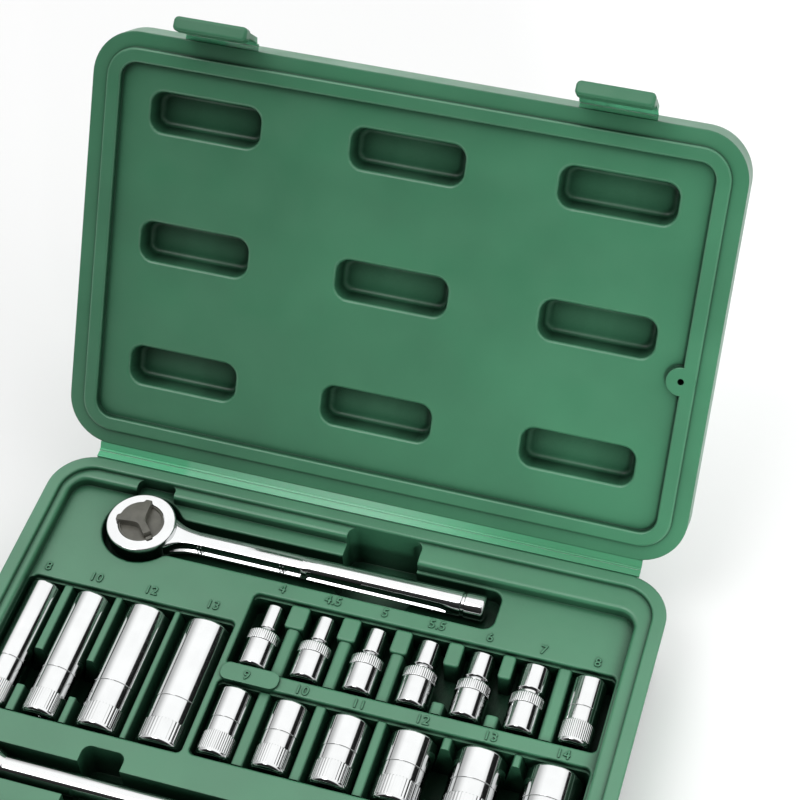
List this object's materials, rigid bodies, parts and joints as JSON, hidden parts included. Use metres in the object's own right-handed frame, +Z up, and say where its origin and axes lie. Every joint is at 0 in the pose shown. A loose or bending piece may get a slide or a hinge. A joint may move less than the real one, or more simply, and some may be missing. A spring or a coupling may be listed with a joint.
{
  "type": "socket wrench set in case",
  "caption": "Socket wrench set: ratchet wrench, standard and deep sockets and extension bars, each loose in its own pocket of a hinged green carry case with two latches.",
  "frame": {"origin": "centre of the case base's underside", "axes": "+Z up, +X along the hinge to the right as the user sees the open case, +Y towards the hinge"},
  "size_m": [0.228, 0.2468, 0.1827],
  "materials": {
    "case_green": "blow-moulded polyethylene, satin",
    "film_green": "thin pressed film, paler and slightly see-through",
    "tool_chrome": "bright chrome plate",
    "dial_grey": "warm dark grey",
    "inner_steel": "oiled steel"
  },
  "bodies": {
    "case": {"case_base": "case_green", "row_one_ridges": "case_green", "row_two_ridges": "case_green", "deep_row_ridges": "case_green", "hinge_film_base": "film_green"},
    "lid": {"case_lid": "case_green", "hinge_film_lid": "film_green", "latch_film_left": "film_green", "latch_film_right": "film_green"},
    "left_latch": {"latch_left": "case_green"},
    "right_latch": {"latch_right": "case_green"},
    "ratchet": {"ratchet_handle": "tool_chrome", "retaining_ring": "tool_chrome"},
    "ratchet_drive": {"drive_anvil": "tool_chrome", "pawl_pin": "tool_chrome", "drive_ball_spring": "inner_steel"},
    "selector": {"selector_dial": "dial_grey", "selector_plunger": "inner_steel", "plunger_spring": "inner_steel"},
    "ratchet_pawl": {"pawl": "inner_steel"},
    "ratchet_ball": {"drive_ball": "tool_chrome"},
    "socket_4_body": {"socket_4": "tool_chrome"},
    "socket_4_5_body": {"socket_4_5": "tool_chrome"},
    "socket_5_body": {"socket_5": "tool_chrome"},
    "socket_5_5_body": {"socket_5_5": "tool_chrome"},
    "socket_6_body": {"socket_6": "tool_chrome"},
    "socket_7_body": {"socket_7": "tool_chrome"},
    "socket_8_body": {"socket_8": "tool_chrome"},
    "socket_9_body": {"socket_9": "tool_chrome"},
    "socket_10_body": {"socket_10": "tool_chrome"},
    "socket_11_body": {"socket_11": "tool_chrome"},
    "socket_12_body": {"socket_12": "tool_chrome"},
    "socket_13_body": {"socket_13": "tool_chrome"},
    "socket_14_body": {"socket_14": "tool_chrome"},
    "deep_socket_8_body": {"deep_socket_8": "tool_chrome"},
    "deep_socket_10_body": {"deep_socket_10": "tool_chrome"},
    "deep_socket_12_body": {"deep_socket_12": "tool_chrome"},
    "deep_socket_13_body": {"deep_socket_13": "tool_chrome"},
    "long_extension_body": {"long_extension": "tool_chrome", "long_extension_spring": "inner_steel"},
    "long_extension_ball_body": {"long_extension_ball": "tool_chrome"},
    "short_extension_body": {"short_extension": "tool_chrome", "short_extension_spring": "inner_steel"},
    "short_extension_ball_body": {"short_extension_ball": "tool_chrome"}
  },
  "joints": [
    {"name": "lid_hinge", "type": "hinge", "parent": "case", "child": "lid", "pos_m": [0, 0.07866, 0.036], "axis": [-1, 0, 0], "range_deg": [-121.4, 58.6]},
    {"name": "left_latch_bend", "type": "hinge", "parent": "lid", "child": "left_latch", "pos_m": [-0.0685, 0.16087, 0.16877], "axis": [-1, 0, 0], "range_deg": [-18, 132]},
    {"name": "right_latch_bend", "type": "hinge", "parent": "lid", "child": "right_latch", "pos_m": [0.0685, 0.16087, 0.16877], "axis": [-1, 0, 0], "range_deg": [-24, 126]},
    {"name": "ratchet_lift", "type": "slide", "parent": "case", "child": "ratchet", "axis": [0, 0, 1], "range_m": [0, 0.06]},
    {"name": "drive_turn", "type": "hinge", "parent": "ratchet", "child": "ratchet_drive", "pos_m": [-0.0749, 0.0529, 0.0235], "axis": [0, 0, 1], "continuous": true},
    {"name": "selector_turn", "type": "hinge", "parent": "ratchet_drive", "child": "selector", "pos_m": [-0.0749, 0.0529, 0.0321], "axis": [0, 0, 1], "range_deg": [-70, 0]},
    {"name": "pawl_swing", "type": "hinge", "parent": "ratchet_drive", "child": "ratchet_pawl", "pos_m": [-0.0703, 0.0529, 0.0276], "axis": [0, 0, 1], "range_deg": [0, 22]},
    {"name": "drive_ball_press", "type": "slide", "parent": "ratchet_drive", "child": "ratchet_ball", "axis": [0, 1, 0], "range_m": [0, 0.00045], "stiffness_N_per_m": 100, "springref_m": -0.0004},
    {"name": "socket_4_lift", "type": "slide", "parent": "case", "child": "socket_4_body", "axis": [0, 0, 1], "range_m": [0, 0.06]},
    {"name": "socket_4_5_lift", "type": "slide", "parent": "case", "child": "socket_4_5_body", "axis": [0, 0, 1], "range_m": [0, 0.06]},
    {"name": "socket_5_lift", "type": "slide", "parent": "case", "child": "socket_5_body", "axis": [0, 0, 1], "range_m": [0, 0.06]},
    {"name": "socket_5_5_lift", "type": "slide", "parent": "case", "child": "socket_5_5_body", "axis": [0, 0, 1], "range_m": [0, 0.06]},
    {"name": "socket_6_lift", "type": "slide", "parent": "case", "child": "socket_6_body", "axis": [0, 0, 1], "range_m": [0, 0.06]},
    {"name": "socket_7_lift", "type": "slide", "parent": "case", "child": "socket_7_body", "axis": [0, 0, 1], "range_m": [0, 0.06]},
    {"name": "socket_8_lift", "type": "slide", "parent": "case", "child": "socket_8_body", "axis": [0, 0, 1], "range_m": [0, 0.06]},
    {"name": "socket_9_lift", "type": "slide", "parent": "case", "child": "socket_9_body", "axis": [0, 0, 1], "range_m": [0, 0.06]},
    {"name": "socket_10_lift", "type": "slide", "parent": "case", "child": "socket_10_body", "axis": [0, 0, 1], "range_m": [0, 0.06]},
    {"name": "socket_11_lift", "type": "slide", "parent": "case", "child": "socket_11_body", "axis": [0, 0, 1], "range_m": [0, 0.06]},
    {"name": "socket_12_lift", "type": "slide", "parent": "case", "child": "socket_12_body", "axis": [0, 0, 1], "range_m": [0, 0.06]},
    {"name": "socket_13_lift", "type": "slide", "parent": "case", "child": "socket_13_body", "axis": [0, 0, 1], "range_m": [0, 0.06]},
    {"name": "socket_14_lift", "type": "slide", "parent": "case", "child": "socket_14_body", "axis": [0, 0, 1], "range_m": [0, 0.06]},
    {"name": "deep_socket_8_lift", "type": "slide", "parent": "case", "child": "deep_socket_8_body", "axis": [0, 0, 1], "range_m": [0, 0.06]},
    {"name": "deep_socket_10_lift", "type": "slide", "parent": "case", "child": "deep_socket_10_body", "axis": [0, 0, 1], "range_m": [0, 0.06]},
    {"name": "deep_socket_12_lift", "type": "slide", "parent": "case", "child": "deep_socket_12_body", "axis": [0, 0, 1], "range_m": [0, 0.06]},
    {"name": "deep_socket_13_lift", "type": "slide", "parent": "case", "child": "deep_socket_13_body", "axis": [0, 0, 1], "range_m": [0, 0.06]},
    {"name": "long_extension_lift", "type": "slide", "parent": "case", "child": "long_extension_body", "axis": [0, 0, 1], "range_m": [0, 0.06]},
    {"name": "long_extension_ball_press", "type": "slide", "parent": "long_extension_body", "child": "long_extension_ball_body", "axis": [0, 0, -1], "range_m": [0, 0.00045], "stiffness_N_per_m": 100, "springref_m": -0.0004},
    {"name": "short_extension_lift", "type": "slide", "parent": "case", "child": "short_extension_body", "axis": [0, 0, 1], "range_m": [0, 0.06]},
    {"name": "short_extension_ball_press", "type": "slide", "parent": "short_extension_body", "child": "short_extension_ball_body", "axis": [0, 0, -1], "range_m": [0, 0.00045], "stiffness_N_per_m": 100, "springref_m": -0.0004}
  ],
  "couplings": [
    {"joint": "pawl_swing", "follows": "selector_turn", "ratio": -0.31429}
  ]
}
